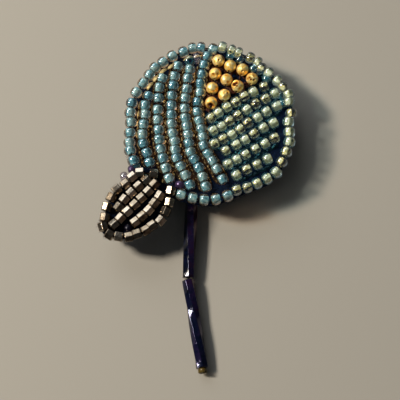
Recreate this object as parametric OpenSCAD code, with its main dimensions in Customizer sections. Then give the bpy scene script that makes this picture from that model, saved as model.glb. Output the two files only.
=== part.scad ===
// Beaded brooch: a round of felt covered with strands of seed beads and a triangle of round
// metal beads, a small beaded leaf at its edge, and a stem of two bugle beads on a thread.
// It lies face up on its pin, with the stem towards -Y. Sizes are in millimetres.
// A strand of small beads is one tube of the strand's own thickness.

/* [Beads] */
// Thickness of a strand of seed beads
seed_d = 2.05; // [1.9:0.01:2.06]
// Thickness of a strand of hex-cut beads
hex_d = 1.6; // [1.4:0.01:1.64]
// Diameter of a round metal bead
metal_d = 2.1; // [1.9:0.01:2.12]
// Diameter of the hole through a round metal bead
metal_hole_d = 0.8; // [0.6:0.05:1]
// Diameter of the bead that ends the stem
stop_d = 1.5; // [1.3:0.05:1.7]
// Length of the bead that ends the stem
stop_l = 0.8; // [0.6:0.05:1]

/* [Bugles] */
// Width of a bugle bead across its corners
bugle_d = 2.1; // [1.8:0.05:2.1]
// Length of a bugle bead
bugle_l = 15; // [13:0.1:15]
// Turn of the upper bugle's six edges from end to end, in degrees
upper_twist = 60; // [0:1:180]
// Turn of the lower bugle's six edges from end to end, in degrees
lower_twist = 100; // [0:1:180]
// Diameter of the hole through a bugle
bugle_hole_d = 0.9; // [0.7:0.05:1.1]

/* [Felt] */
// Thickness of the felt under the round
felt_t = 1.8; // [1:0.1:2.4]
// How far the felt reaches outside the middle of the rim beads
felt_margin = 0.3; // [0:0.05:0.6]
// Thickness of the felt under the leaf
leaf_felt_t = 1.2; // [1:0.1:1.6]
// How far the leaf droops towards its tip, in degrees
leaf_droop = 4; // [0:0.5:6]

/* [Pin] */
// Height of the felt's back above the surface that the brooch lies on
pin_h = 3; // [2.8:0.05:3.4]
// Length of the pin bar
bar_l = 23; // [20:0.5:24]
// Width of the pin bar
bar_w = 4.4; // [3.5:0.1:6]
// Thickness of the pin bar
bar_t = 0.6; // [0.5:0.05:0.8]
// Diameter of the needle
needle_d = 0.8; // [0.6:0.05:0.9]
// Distance of the pin above the middle of the round
bar_y = 4; // [3:0.1:5]

/* [Thread] */
// Diameter of the thread
thread_d = 0.24; // [0.2:0.02:0.3]

/* [Hidden] */
seat_gap = 0.05;
tube_sides = 8;
thread_sides = 6;
round_faces = 48;

felt_top = pin_h + felt_t;
seed_z = felt_top + seat_gap + seed_d / 2;
metal_z = felt_top + seat_gap + metal_d / 2;

// Radius of the rim beads' middles every rim_step degrees, anticlockwise from +X
rim_step = 15;
rim_r = [
  13.17, 13.98, 13.94, 13.37, 13.63, 13.73, 13.6, 13.8,
  13.61, 13.49, 13.3, 13.51, 13.22, 13.83, 14.22, 13.76,
  13.4, 13.2, 13.27, 12.65, 12.62, 13.51, 13.71, 13.59
];
rim_ring_step = 9;
// Columns: angle where the run starts, angle where it ends
rim_left_run = [85, 205];
rim_right_run = [-73, 84];
rim_bottom_run = [-112, -74];

// Bowed strands. Columns: start x, start y, end x, end y, bow towards -X
strands = [
  [-10.75, 3.5, -10.05, -7.2, 0.66],
  [-8.14, 7.9, -6.75, -10.1, 1.2],
  [-5.48, 10.25, -3.3, -10.95, 2],
  [-3.08, 11.4, -0.68, -11.1, 2.12],
  [-0.62, 12.1, 2.1, -10.1, 2.55]
];
strand_rings = 8;

// Slanting rows. Columns: distance from the middle, start and end along the row
row_turn = 31.5;
rows = [
  [0.88, 0.32, 11.5],
  [-1.2, -0.4, 12.4],
  [-3.31, -1.2, 11.8],
  [-5.45, -0.7, 9.8],
  [-7.68, -1.5, 8.7],
  [-9.9, -1.3, 5.6]
];

// Round metal beads, in four columns of 4, 3, 2 and 1. Columns: x, y
metal_columns = [
  [[1.45, 11.3], [0.9, 8.96], [0.4, 6.38], [0.22, 3.78]],
  [[3.43, 10.34], [2.8, 7.88], [2.41, 5.14]],
  [[5.5, 9.7], [4.67, 6.71]],
  [[7.08, 8.06]]
];
metal_beads = [for (column = metal_columns, bead = column) bead];

// Leaf, in its own frame: x from its root to its tip, y across. Columns: x, y
leaf_root = [-7.2, -9.6];
leaf_turn = 217;
leaf_lift = 0.2;
leaf_edge_route = [
  [1.12, -1.84], [2.65, -3.4], [4.5, -3.75], [6.3, -3.65], [8, -3.45], [9.5, -2.95],
  [10.9, -2.2], [12.3, -1.2], [13.7, -0.2], [13.6, 1.2], [12.6, 2.6], [11.1, 3.8],
  [9.5, 4.45], [8, 4.75], [6.4, 4.85], [4.8, 4.65], [3.3, 4.2], [2, 3.3], [0.8, 1.95]
];
// Strands inside the leaf. Columns: start x, start y, end x, end y
leaf_rows = [
  [3.2, -1.92, 9.6, -0.9],
  [1.6, -0.5, 11.7, 1.18],
  [2.6, 1.35, 9.2, 2.75]
];

stem_top = [-2.97, -10.4, pin_h - 0.1 - bugle_d / 2];
stem_bend = [-3.62, -25.6, 1.43];
stem_end = [-1.24, -41.02, bugle_d / 2 + 0.02];
bugle_slices = 14;
bugle_end_gap = 0.15;
// Direction of the first edge of each bugle
upper_edge = 53;
lower_edge = 31;
thread_under_felt = [-2.8, -8.6, pin_h - thread_d];

knuckle_d = 2.8;
knuckle_w = 3.2;
catch_w = 1.8;
foot_z = knuckle_d / 2 - 0.15;
needle_tip_l = 1.2;

metal_names = [for (i = [1 : len(metal_beads)]) str("gold_bead_", i)];
strand_names = [for (i = [1 : len(strands)]) str("strand_", i)];
row_names = [for (i = [1 : len(rows)]) str("row_", i)];
leaf_row_names = [for (i = [1 : len(leaf_rows)]) str("leaf_row_", i)];

// Smooth curve through a, b, c and d, at u between b (0) and c (1)
function smooth(a, b, c, d, u) =
  b + u / 2 * (c - a + u * (2 * a - 5 * b + 4 * c - d + u * (3 * (b - c) + d - a)));

function wrapped(i, n) = (i % n + n) % n;

function rim_radius(angle) =
  let (
    n = len(rim_r),
    i = floor(angle / rim_step),
    near = [for (k = [-1 : 2]) rim_r[wrapped(i + k, n)]]
  )
  smooth(near[0], near[1], near[2], near[3], angle / rim_step - i);

function on_rim(angle, out = 0) =
  (rim_radius(angle) + out) * [cos(angle), sin(angle)];

function rim_route(run) =
  let (n = round((run[1] - run[0]) / rim_ring_step))
  [for (i = [0 : n]) let (p = on_rim(run[0] + (run[1] - run[0]) * i / n)) [p.x, p.y, seed_z]];

// Point at share t of a strand that bows to its right hand side on the way from start to end
function bowed(start, end, bow, t) =
  let (way = end - start, side = [way.y, -way.x] / norm(way))
  start + way * t + side * bow * 4 * t * (1 - t);

function strand_route(s) =
  [for (i = [0 : strand_rings - 1])
    let (p = bowed([s[0], s[1]], [s[2], s[3]], s[4], i / (strand_rings - 1)))
    [p.x, p.y, seed_z]];

function row_route(row) =
  let (along = [cos(row_turn), sin(row_turn)], across = [-sin(row_turn), cos(row_turn)])
  [for (s = [row[1], row[2]]) let (p = row[0] * across + s * along) [p.x, p.y, seed_z]];

// Rings of a tube. Its side is level, so that a flat of the tube faces down.
function unit(v) = v / norm(v);

function heading(route, i) =
  unit(route[min(i + 1, len(route) - 1)] - route[max(i - 1, 0)]);

function level_side(way, fallback) =
  norm([way.x, way.y]) > 0.5 && is_undef(fallback) ? unit([-way.y, way.x, 0]) : fallback;

function tube_points(route, d, sides, side) =
  [for (i = [0 : len(route) - 1])
    let (
      way = heading(route, i),
      across = level_side(way, side),
      up = cross(way, across),
      r = d / 2 / cos(180 / sides)
    )
    for (k = [0 : sides - 1])
      let (a = (k + 0.5) * 360 / sides)
      route[i] + r * (cos(a) * across + sin(a) * up)];

module tube(route, d, sides = tube_sides, side = undef) {
  n = len(route);
  walls = [for (i = [0 : n - 2], k = [0 : sides - 1])
    let (a = i * sides + k, b = i * sides + (k + 1) % sides)
    for (face = [[a, a + sides, b], [b, a + sides, b + sides]]) face];
  first_cap = [for (k = [0 : sides - 1]) k];
  last_cap = [for (k = [sides - 1 : -1 : 0]) (n - 1) * sides + k];
  polyhedron(tube_points(route, d, sides, side), concat(walls, [first_cap, last_cap]));
}

// Puts +Z of what follows along the line from one point to another
module along(from, to) {
  way = to - from;
  translate(from) rotate([0, acos(way.z / norm(way)), atan2(way.y, way.x)]) children();
}

// The leaf's frame on the brooch, and the same as a function
leaf_seat = [leaf_root.x, leaf_root.y, felt_top + leaf_lift];
module on_leaf() {
  translate(leaf_seat) rotate([0, 0, leaf_turn]) rotate([0, leaf_droop, 0]) children();
}
function leaf_place(p) =
  let (
    x = p.x * cos(leaf_droop) + p.z * sin(leaf_droop),
    z = p.z * cos(leaf_droop) - p.x * sin(leaf_droop)
  )
  leaf_seat + [x * cos(leaf_turn) - p.y * sin(leaf_turn), x * sin(leaf_turn) + p.y * cos(leaf_turn), z];
leaf_bead_z = seat_gap + hex_d / 2;

// The origin is on the surface, under the middle of the whole brooch
rim_points = [for (run = [rim_left_run, rim_right_run])
  for (p = tube_points(rim_route(run), seed_d, tube_sides, undef)) p];
leaf_edge_line = [for (p = leaf_edge_route) [p.x, p.y, leaf_bead_z]];
leaf_points = [for (p = tube_points(leaf_edge_line, hex_d, tube_sides, undef)) leaf_place(p)];
stem_way = unit(stem_end - stem_bend);
stem_reach = stop_l / 2 * abs(stem_way.y) + stop_d / 2 * sqrt(1 - pow(stem_way.y, 2));
right = max([for (p = rim_points) p.x]);
left = min([for (p = leaf_points) p.x]);
top = max([for (p = rim_points) p.y]);
bottom = stem_end.y - stem_reach;
module brooch() { translate([-(left + right) / 2, -(bottom + top) / 2, 0]) children(); }

module felt_outline(out) {
  polygon([for (a = [0 : 5 : 355]) on_rim(a, out)]);
}

module backing() {
  color("#17151a")
  translate([0, 0, pin_h]) linear_extrude(felt_t) felt_outline(felt_margin);
}

module rim(run, shade) {
  color(shade) tube(rim_route(run), seed_d);
}

module strand(s) {
  color("#7faeb2") tube(strand_route(s), seed_d);
}

module row(r) {
  color("#a9ac86") tube(row_route(r), seed_d);
}

// Level way of the thread through a column's beads. The last column has one bead.
function column_way(column) =
  len(column) > 1 ? unit(column[len(column) - 1] - column[0]) : unit([-0.35, -1]);

module metal_bead(centre, way) {
  color("#d08a2c")
  translate([centre.x, centre.y, metal_z]) difference() {
    sphere(d = metal_d, $fn = round_faces);
    rotate([0, 90, atan2(way.y, way.x)])
      cylinder(d = metal_hole_d, h = metal_d + 1, center = true, $fn = round_faces);
  }
}

function bead_way(i) =
  let (ways = [for (column = metal_columns) for (bead = column) column_way(column)]) ways[i];

module gold_thread() {
  color("#2a2622")
  for (column = metal_columns) {
    way = column_way(column);
    low = felt_top + seat_gap;
    start = column[0] - way * metal_d * 0.4;
    end = column[len(column) - 1] + way * (metal_d / 2 + thread_d / 2);
    route = [
      [start.x, start.y, metal_z], [end.x, end.y, metal_z], [end.x, end.y, low]
    ];
    tube(route, thread_d, thread_sides, [-way.y, way.x, 0]);
  }
}

module leaf_base() {
  color("#17151a") difference() {
    on_leaf() translate([0, 0, -leaf_felt_t]) linear_extrude(leaf_felt_t) polygon(leaf_edge_route);
    linear_extrude(2 * felt_top) felt_outline(felt_margin + 2 * seat_gap);
  }
}

module leaf_edge() {
  color("#9a8674") on_leaf() tube(leaf_edge_line, hex_d);
}

module leaf_row(r) {
  color("#9a8674") on_leaf() tube([[r[0], r[1], leaf_bead_z], [r[2], r[3], leaf_bead_z]], hex_d);
}

module bugle(from, to, edge, twist) {
  color("#1b1430") along(from, to) difference() {
    rotate([0, 0, edge])
      linear_extrude(bugle_l, twist = twist, slices = bugle_slices) circle(d = bugle_d, $fn = 6);
    translate([0, 0, -1]) cylinder(d = bugle_hole_d, h = bugle_l + 2, $fn = round_faces);
  }
}

module stem_thread() {
  color("#2a2622") tube(
    [thread_under_felt, stem_top, stem_bend, stem_end], thread_d, thread_sides
  );
}

module stop_bead() {
  color("#6f6a44") along(stem_end - stem_way * stop_l / 2, stem_end) difference() {
    cylinder(d = stop_d, h = stop_l, $fn = round_faces);
    translate([0, 0, -1]) cylinder(d = stop_d * 0.45, h = stop_l + 2, $fn = round_faces);
  }
}

module pin_back() {
  knuckle_x = -bar_l / 2 + knuckle_d / 2;
  catch_x = bar_l / 2 - catch_w;
  color("silver") translate([0, bar_y, 0]) {
    translate([-bar_l / 2, -bar_w / 2, pin_h - bar_t]) cube([bar_l, bar_w, bar_t]);
    intersection() {
      union() {
        translate([knuckle_x, 0, foot_z]) rotate([90, 0, 0])
          cylinder(d = knuckle_d, h = knuckle_w, center = true, $fn = round_faces);
        translate([knuckle_x - knuckle_d / 2, -knuckle_w / 2, foot_z])
          cube([knuckle_d, knuckle_w, pin_h - bar_t / 2 - foot_z]);
        translate([catch_x, 0, foot_z]) rotate([0, 90, 0])
          cylinder(d = knuckle_d, h = catch_w, center = true, $fn = round_faces);
        translate([catch_x - catch_w / 2, -0.5, foot_z])
          cube([catch_w, 1, pin_h - bar_t / 2 - foot_z]);
      }
      translate([-bar_l, -bar_w, 0]) cube([2 * bar_l, 2 * bar_w, pin_h]);
    }
    translate([knuckle_x, 0, foot_z]) rotate([0, 90, 0])
      cylinder(d = needle_d, h = catch_x - knuckle_x + catch_w / 2, $fn = round_faces);
    translate([catch_x + catch_w / 2, 0, foot_z]) rotate([0, 90, 0])
      cylinder(d1 = needle_d, d2 = needle_d / 5, h = needle_tip_l, $fn = round_faces);
  }
}

brooch() backing();
brooch() rim(rim_left_run, "#7faeb2");  // rim_left
brooch() rim(rim_right_run, "#a9ac86");  // rim_right
brooch() rim(rim_bottom_run, "#7faeb2");  // rim_bottom
for (i = [0 : len(strands) - 1])
  brooch() strand(strands[i]);
for (i = [0 : len(rows) - 1])
  brooch() row(rows[i]);
for (i = [0 : len(metal_beads) - 1])
  brooch() metal_bead(metal_beads[i], bead_way(i));
brooch() gold_thread();
brooch() leaf_base();
brooch() leaf_edge();
for (i = [0 : len(leaf_rows) - 1])
  brooch() leaf_row(leaf_rows[i]);
brooch() bugle(stem_top, stem_bend, upper_edge, upper_twist);  // bugle_1
brooch() bugle(stem_bend + stem_way * bugle_end_gap, stem_end, lower_edge, lower_twist);  // bugle_2
brooch() stem_thread();
brooch() stop_bead();
brooch() pin_back();
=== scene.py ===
"""Dresses the beaded brooch: seed beads, hex-cut beads, bugles, felt, stitches, metal and the stage.

Lengths in the tables are in millimetres on the brooch, with x and y measured from the middle of the
round, as in the part's own source. They turn to metres in the row frame when a mesh is made.
"""
import math
import random

import bpy
import numpy as np
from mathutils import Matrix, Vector


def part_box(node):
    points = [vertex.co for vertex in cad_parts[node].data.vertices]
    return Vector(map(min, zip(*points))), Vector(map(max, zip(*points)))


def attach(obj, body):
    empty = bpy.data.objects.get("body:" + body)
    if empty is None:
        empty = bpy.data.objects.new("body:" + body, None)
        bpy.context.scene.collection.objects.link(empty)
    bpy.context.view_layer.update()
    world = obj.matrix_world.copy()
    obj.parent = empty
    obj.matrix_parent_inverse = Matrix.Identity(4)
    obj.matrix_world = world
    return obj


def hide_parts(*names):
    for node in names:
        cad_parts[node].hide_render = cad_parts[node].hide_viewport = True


bl_info = {
    "name": "Beaded Brooch Dresser",
    "version": (1, 0, 0),
    "blender": (4, 5, 0),
    "location": "3D View > Sidebar > Brooch",
    "description": "Strings the brooch's beads on their threads and gives each piece its finish",
    "category": "Object",
}

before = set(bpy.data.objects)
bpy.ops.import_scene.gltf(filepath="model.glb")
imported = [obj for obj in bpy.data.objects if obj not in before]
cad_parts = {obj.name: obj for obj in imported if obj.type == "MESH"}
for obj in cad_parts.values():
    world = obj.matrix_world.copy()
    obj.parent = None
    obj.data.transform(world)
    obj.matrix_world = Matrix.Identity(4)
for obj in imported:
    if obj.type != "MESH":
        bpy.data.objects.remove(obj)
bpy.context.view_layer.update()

MM = 0.001

# The first round metal bead is at this place on the round, which gives the round's middle.
FIRST_METAL_BEAD = (1.45, 11.3)
_low, _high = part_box("gold_bead_1")
ROUND_X = (_low.x + _high.x) / 2 / MM - FIRST_METAL_BEAD[0]
ROUND_Y = (_low.y + _high.y) / 2 / MM - FIRST_METAL_BEAD[1]

FELT_LOW, FELT_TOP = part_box("backing")[0].z / MM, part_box("backing")[1].z / MM
# Felt outside the rim beads' middles, and gap between the round's felt and the leaf's
FELT_MARGIN, LEAF_GAP = 0.3, 0.12
SEAT_GAP = 0.05
SEED_TUBE_D = 2.05
# Height of the seed beads' middles, and of the metal beads'
SEED_Z = FELT_TOP + SEAT_GAP + SEED_TUBE_D / 2
METAL_Z = (_low.z + _high.z) / 2 / MM

# Radius of the rim beads' middles every 15 degrees, anticlockwise from +X
RIM_STEP = 15
RIM_RADIUS = [
    13.17, 13.98, 13.94, 13.37, 13.63, 13.73, 13.6, 13.8, 13.61, 13.49, 13.3, 13.51,
    13.22, 13.83, 14.22, 13.76, 13.4, 13.2, 13.27, 12.65, 12.62, 13.51, 13.71, 13.59,
]

# Rim beads in the order in which the strand was sewn. Columns: angle, distance outside the rim line
RIM_RUNS = {
    "rim_left": [
        (87.8, -0.2), (96.2, 0.09), (102.3, 0.08), (109.1, -0.14), (117.3, 0.05), (125.8, 0), (132.7, 0.11),
        (139.3, -0.09), (147.1, -0.08), (155.5, 0.13), (164.1, 0), (171.2, 0), (178.7, 0), (186.6, 0),
        (193.5, -0.06), (199.5, 0.08), (207.2, 0),
    ],
    "rim_right": [
        (81.3, 0.2), (74.7, -0.03), (69.3, -0.11), (60.2, 0), (53.9, 0.17), (49.3, -0.18), (42.5, 0.08),
        (34.4, 0), (28.3, -0.09), (22, 0.18), (16.3, -0.18), (7.8, 0.16), (1.5, -0.14), (-6.1, 0.07),
        (-13.7, 0.06), (-21.3, -0.1), (-29.5, -0.05), (-37.8, 0.18), (-45.4, -0.11), (-53.1, 0),
        (-60.7, 0.11), (-69.1, -0.19),
    ],
    "rim_bottom": [(-76.9, 0.15), (-85.7, 0), (-94.4, 0), (-102.6, 0), (-111, 0)],
}

# Seed beads of the bowed strands, from the top down. Columns: x, y
STRANDS = {
    "strand_1": [
        (-10.9, 3.35), (-10.85, 1.7), (-11.05, -0.05), (-11.25, -1.8), (-11.05, -3.5),
        (-10.55, -5.15), (-10.05, -6.85),
    ],
    "strand_2": [
        (-8.05, 8.1), (-8.5, 6.4), (-8.6, 4.55), (-8.75, 2.5), (-8.8, 0.7), (-8.65, -1.1),
        (-8.5, -2.8), (-8.2, -4.4), (-7.85, -6.05), (-7.4, -7.8), (-6.8, -9.6),
    ],
    "strand_3": [
        (-5.45, 10.3), (-5.9, 8.51), (-6.15, 6.77), (-6.4, 5.01), (-6.45, 3.23), (-6.45, 1.6),
        (-6.45, -0.05), (-6.25, -1.6), (-5.95, -3.1), (-5.8, -4.6), (-5.55, -6.05),
        (-4.9, -7.45), (-4.05, -9), (-3.35, -10.7),
    ],
    "strand_4": [
        (-3.4, 9.73), (-3.75, 8.04), (-3.9, 6.25), (-4.2, 4.5), (-4.25, 2.71), (-4.2, 1.1),
        (-3.95, -0.4), (-3.75, -1.9), (-3.5, -3.4), (-3.3, -4.9), (-2.7, -6.25), (-1.85, -7.75),
        (-1.2, -9.35), (-0.7, -10.95),
    ],
    "strand_5": [
        (-0.5, 12), (-0.97, 10.51), (-1.32, 8.83), (-1.57, 7.14), (-1.67, 5.51),
        (-2.01, 3.82), (-2.1, 2.1), (-1.75, 0.6), (-1.45, -0.85), (-1.2, -2.3), (-1, -3.8),
        (-0.4, -5.2), (0.35, -6.5), (1.1, -7.95), (2.1, -9.7),
    ],
}

# Seed beads of the slanting rows, from the left up. Columns: distance along the row, across it
ROW_TURN = 31.5
ROWS = {
    "row_1": [
        (0.65, 0.85), (2.25, 0.9), (3.96, 1.02), (5.69, 1.06), (7.41, 1.18), (9.23, 1.04),
        (11.2, 0.95),
    ],
    "row_2": [
        (-0.2, -1.25), (1.4, -1.35), (3.05, -1.25), (4.76, -1.15), (6.53, -1.07), (8.36, -0.98),
        (10.25, -1), (12.1, -1.02),
    ],
    "row_3": [
        (-1.15, -3.3), (0.5, -3.45), (2.15, -3.55), (3.8, -3.4), (5.5, -3.15), (7.33, -3.1),
        (9.23, -3.12), (11.14, -3.15),
    ],
    "row_4": [
        (-0.3, -5.35), (1.75, -5.4), (3.5, -5.4), (5.35, -5.3), (7.2, -5.25), (9.12, -5.31),
    ],
    "row_5": [
        (-1.2, -7.55), (0.55, -7.6), (2.25, -7.7), (4.1, -7.7), (6.05, -7.75), (7.9, -7.75),
    ],
    "row_6": [(-1, -9.9), (1, -10), (2.95, -10.2), (4.9, -10.2)],
}

# Single beads that fill small gaps. Columns: x, y, height of the middle, way of the hole x, y, z, kind
FILLERS = [
    (-10.3, 4.9, 6.1, 0.3, 1, 0, "teal"), (-3.33, 11.2, 6.05, 0.1, -0.3, 1, "blue"),
    (-2.2, 11.75, 5.7, 1, 0.3, 0, "clear"), (3.42, 12.2, 5.4, 1, -0.2, 0, "blue"),
    (5.09, 11.6, 5.4, 1, -0.5, 0, "blue"), (7.32, 9.95, 5.3, 0.5, -1, 0, "blue"),
    (8.52, 9.36, 5.35, 0.3, -1, 0.2, "blue"), (9.53, 8.2, 5.35, 0.8, 0.6, 0, "blue"),
    (11.9, 5.18, 5.4, 0.2, 1, 0.3, "blue"), (12.1, 3.7, 5.4, 0.1, 1, 0, "blue"),
    (-12.36, -7.17, 5.4, 0.5, 1, 0, "blue"), (-12.94, -7.95, 5.3, 1, 0.4, 0, "iris"),
    (-14.2, -9.1, 5.3, 1, 0.2, 0.3, "clear"), (-4.95, -10.6, 5.5, 0.4, 1, 0, "iris"),
    (-13.45, -17.95, 4.75, 0.8, 0.6, 0, "night"),
]

# Leaf, in its own frame: x from its root to its tip, y across. Columns: x, y
LEAF_ROOT = (-7.2, -9.6)
LEAF_TURN = 217
LEAF_DROOP = 4
LEAF_LIFT = 0.2
LEAF_BEAD_Z = 0.85
LEAF_FELT_T = 1.2
# Rounding of the felt's cut edge, and radius of a loose fibre
FELT_ROUND, FIBRE_R = 0.12, 0.022
LEAF_OUTLINE = [
    (1.12, -1.84), (2.65, -3.4), (4.5, -3.75), (6.3, -3.65), (8, -3.45), (9.5, -2.95),
    (10.9, -2.2), (12.3, -1.2), (13.7, -0.2), (13.6, 1.2), (12.6, 2.6), (11.1, 3.8),
    (9.5, 4.45), (8, 4.75), (6.4, 4.85), (4.8, 4.65), (3.3, 4.2), (2, 3.3), (0.8, 1.95),
]
# Beads of the leaf's edge, from its root round the tip. Columns: x, y, roll of the facets in degrees
LEAF_EDGE = [
    (1.15, -1.95, 34), (2.8, -3.6, 17), (4.25, -3.75, 21), (5.85, -3.5, 16), (7.55, -3.6, 9),
    (9.1, -3.05, 15), (10.65, -2.2, 20), (12, -0.95, 20), (13.1, 0.1, 42), (13.05, 1.9, -14),
    (12.05, 3.05, -12), (10.8, 4.1, -18), (9.45, 4.5, -15), (7.95, 4.95, -20), (6.6, 4.95, -24),
    (5, 5.1, -15), (3.45, 4.4, -34), (2.05, 3.5, -19), (0.65, 2.1, -24),
]
# Beads inside the leaf, from its root to its tip. Columns: x, y, roll of the facets in degrees
LEAF_ROWS = {
    "leaf_row_1": [
        (2.75, -1.85, 34), (4.4, -1.8, 22), (6, -1.7, 16), (7.6, -1.45, 26), (9.1, -0.95, 30),
    ],
    "leaf_row_2": [
        (2.1, -0.45, 18), (3.65, -0.1, 24), (5.2, 0.05, 20), (6.8, 0.3, 20), (8.4, 0.55, 28),
        (10.0, 0.75, 20), (11.5, 0.95, 32),
    ],
    "leaf_row_3": [
        (2.6, 1.65, 22), (4.1, 2.15, 28), (5.5, 2.5, 18), (7, 2.7, 26), (8.5, 2.75, 20),
    ],
}

# Round metal beads, in four columns of 4, 3, 2 and 1. Columns: x, y
METAL_COLUMNS = [
    [(1.45, 11.3), (0.9, 8.96), (0.4, 6.38), (0.22, 3.78)],
    [(3.43, 10.34), (2.8, 7.88), (2.41, 5.14)],
    [(5.5, 9.7), (4.67, 6.71)],
    [(7.08, 8.06)],
]
METAL_D, METAL_HOLE_D = 2.1, 0.8
METAL_SIDES, METAL_STEPS = 64, 44
# Way of the thread through the bead that is a column by itself, as x and y
LAST_COLUMN_WAY = (-0.35, -1)
# Russet thread stitches round each metal bead; their dark red-brown on the felt stands in for the gold's
# reflection
# and shade in the gaps: painted shade and reflection
GOLD_REFLECTION_STITCHES = 16
# Dents and pits of the metal beads, by the bead's number. Columns: towards x, y and z, width, depth, lip
METAL_DENTS = {
    1: [
        (0.05, -0.22, 0.97, 0.16, 0.22, 0.05), (0.05, -0.2, 0.97, 0.25, 0, 0.07),
        (0.02, -0.18, 0.97, 0.45, 0, 0.07), (0.85, 0.35, 0.4, 0.4, 0.2, 0.05),
    ],
    2: [
        (-0.2, -0.5, 0.8, 0.35, 0.1, 0.05), (0.35, -0.35, 0.85, 0.22, 0.1, 0.04),
        (0.7, 0.5, 0.5, 0.3, 0.1, 0),
    ],
    3: [(0.6, -0.5, 0.6, 0.25, 0.1, 0.03), (0.2, -0.75, 0.6, 0.2, 0.06, 0.02)],
    4: [(-0.1, -0.8, 0.6, 0.52, 0.9, 0.08), (0.5, 0.4, 0.7, 0.3, 0.05, 0.02)],
    5: [(0.5, 0.5, 0.6, 0.35, 0.05, 0.02), (-0.2, -0.8, 0.5, 0.3, 0.06, 0.02)],
    6: [(0.25, -0.65, 0.7, 0.25, 0.1, 0.03), (0.1, 0.3, 0.9, 0.5, 0.03, 0.02)],
    7: [(0.5, 0.05, 0.86, 0.17, 0.2, 0.08), (0.2, -0.7, 0.7, 0.3, 0.06, 0.02)],
    8: [(-0.05, -0.55, 0.8, 0.15, 0.24, 0.02), (0.0, 0.3, 0.9, 0.4, 0.05, 0.04)],
    9: [
        (-0.55, 0.28, 0.79, 0.5, 0.9, 0.1), (-0.1, -0.3, 0.95, 0.16, 0.2, 0.07),
        (0.3, -0.6, 0.7, 0.3, 0.06, 0.03),
    ],
    10: [
        (-0.72, -0.3, 0.6, 0.2, 0.6, 0.08), (-0.45, -0.1, 0.86, 0.16, 0.5, 0.08),
        (-0.2, -0.45, 0.85, 0.17, 0.3, 0.06), (0.3, -0.5, 0.8, 0.18, 0.2, 0.05),
        (0.4, 0.2, 0.9, 0.3, 0.07, 0.04),
    ],
}

# Stem's thread, from under the felt to its end. Columns: x, y, height
THREAD_UNDER_FELT = (-2.8, -8.6, 2.76)
STEM_TOP = (-2.97, -10.4, 1.85)
STEM_BEND = (-3.62, -25.6, 1.43)
STEM_END = (-1.24, -41.02, 1.07)
BUGLE_END_GAP = 0.15
BUGLE_L, BUGLE_D, BUGLE_HOLE_D = 15.0, 2.1, 0.9
# Rounding of a bugle's ends. Columns: distance from the end, share of the full width
BUGLE_ENDS = [(0, 0.86), (0.04, 0.96), (0.1, 1)]
BUGLE_STEPS = 90
# Columns: turn of the edges from end to end and way of the first, both in degrees, and their wear
BUGLE_TWIST = {"bugle_1": (60, 54.5, 0.07), "bugle_2": (103, 31.5, 0.15)}
# Where each facet's colour lies in the coat's range, from black through navy and purple to dark red
BUGLE_FACETS = {
    "bugle_1": (0.5, 0.52, 0.32, 0.05, 0.1, 0.3),
    "bugle_2": (0.5, 0.5, 0.3, 0.12, 0.22, 0.1),
}

# Gold stitches that hold the rim strand; their pale gold, wider where the lamps fall, also stands in for
# light focused through the rim beads' glass: painted light. Columns: angle, radius, length, height, width
RIM_STITCHES_AND_LIGHT = [
    (99, 12.15, 1.7, 6.2, 0.4), (107.5, 12.2, 1.65, 6.2, 0.5), (116, 12.2, 0.9, 6.1, 0.35),
    (122, 12.15, 1.6, 6.1, 0.62), (130, 12.25, 1.65, 6.1, 0.66), (138, 12.15, 1.55, 6.1, 0.68),
    (146, 12.15, 1.65, 6.1, 0.66), (154, 12.15, 1.4, 6, 0.45), (163, 12.25, 1.4, 5.9, 0.3),
    (171.5, 12.15, 1.4, 5.8, 0.28), (180, 12.05, 1.3, 5.7, 0.3), (188.5, 12.1, 1.3, 5.7, 0.35),
    (197, 12.4, 1.3, 5.7, 0.35),
]
# Bead that ends the stem: length, width, hole and squareness, and its lining's end and two radii
STOP_BEAD = (0.8, 1.45, 0.68, 0.5)
STOP_LINING = (0.34, 0.3, 0.36)

# Glass beads: sides and steps of their section, and power of its shoulders (1 is half an ellipse)
GLASS_SIDES, GLASS_STEPS, SEED_SQUARENESS = 24, 14, 0.92
# How much of the chance tilt a seed bead takes in x, y and z, and how far it may lie out of line
SEED_TILT = (1, 1, 0.5)
SEED_SHIFT = ((-0.06, 0.06), (-0.05, 0.05), (-0.05, 0))
# Numbers of the finishes in a strand, and those of the couching threads, by how often they come; the
# couching threads' pale lurex ends also stand in for glints in the glass beside the beads: painted
# highlights
FINISH_GLASS, FINISH_LINING, FINISH_END_SHADE, FINISH_THREAD = 0, 1, 2, 3
GLINT_COUCHING = (4, 5, 5)
# The lining reaches this far into the glass and into the hole, and has a darker band at each end: painted
# shade where beads meet
LINING_SKIN, LINING_EDGE, LINING_SIDES = 0.04, 0.12, 20
LINING_FINISHES = [
    finish for finish in (
        FINISH_END_SHADE, FINISH_END_SHADE, FINISH_LINING, FINISH_END_SHADE, FINISH_END_SHADE, FINISH_LINING,
    ) for _ in range(LINING_SIDES)
]
# Power of the curve that gives the gilded holes their rounded square section
SQUARE = 3.0
# Way that the flats of the square holes face, up and to the left towards the lamps. On the far side the
# gilding's tone drops by the second value, from the third in mm off the hole's middle: painted shade,
# turned from the lamps.
SQUARE_FACES, GILDING_SHADE_DROP, GILDING_SHADE_FROM = (-0.85, 0.5, 0), 0.6, -0.28
# Way that the leaf beads' bright facets face, towards the lamps, and how much lower the tone of the others
# is, as painted shade
LEAF_FACES, LEAF_FACET_SHADE = (-0.25, 0.25, 0.93), 0.13
# Points of a six-sided bead's worn corner, in degrees from its middle
CORNER_LEANS = range(-30, 31, 10)
# Rounding of a hex-cut bead. Columns: place along it as a share of its length, share of the full width
HEX_ENDS = [(-0.5, 0.8), (-0.44, 0.97), (-0.4, 1), (0.4, 1), (0.44, 0.97), (0.5, 0.8)]
HEX_WEAR, HEX_HOLE_D = 0.2, 0.7
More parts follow.
